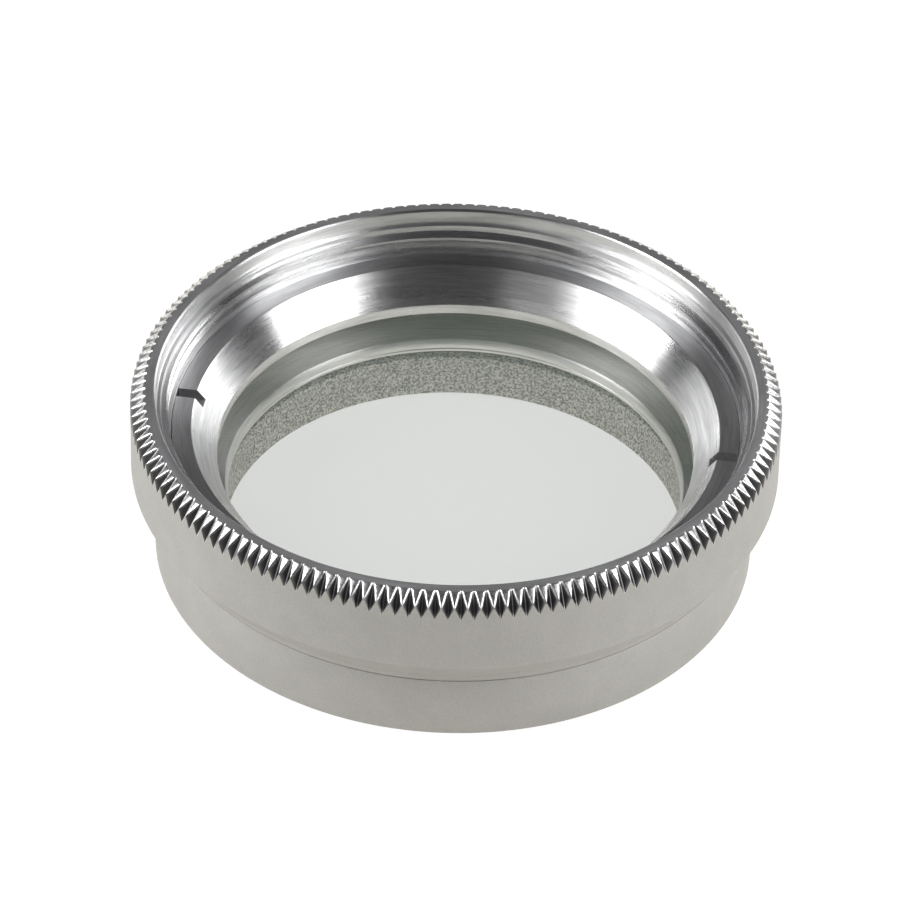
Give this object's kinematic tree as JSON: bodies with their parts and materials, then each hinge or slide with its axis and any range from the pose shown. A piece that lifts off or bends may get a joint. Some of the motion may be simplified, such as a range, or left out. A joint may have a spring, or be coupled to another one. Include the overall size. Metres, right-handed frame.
{
  "type": "magnetic uv filter",
  "caption": "Round clear filter in a knurled aluminium ring with a fine front thread, on a collar that holds a ring magnet.",
  "frame": {"origin": "centre of the collar's flat rear face, which is the underside as the part stands", "axes": "+Z along the optical axis, out of the front thread; +X to the right as the part is seen from the front edge"},
  "size_m": [0.0244, 0.0244, 0.0072],
  "materials": {
    "ring_aluminium": "bead-blasted satin band, turned inside",
    "retainer_aluminium": "bright turned",
    "coated_glass": "polished and coated",
    "collar_aluminium": "bead-blasted satin",
    "magnet": "coarse plated grain"
  },
  "bodies": {
    "root": {"filter_ring": "ring_aluminium", "retaining_ring": "retainer_aluminium", "filter_glass": "coated_glass", "magnet_collar": "collar_aluminium", "ring_magnet": "magnet"}
  },
  "joints": []
}
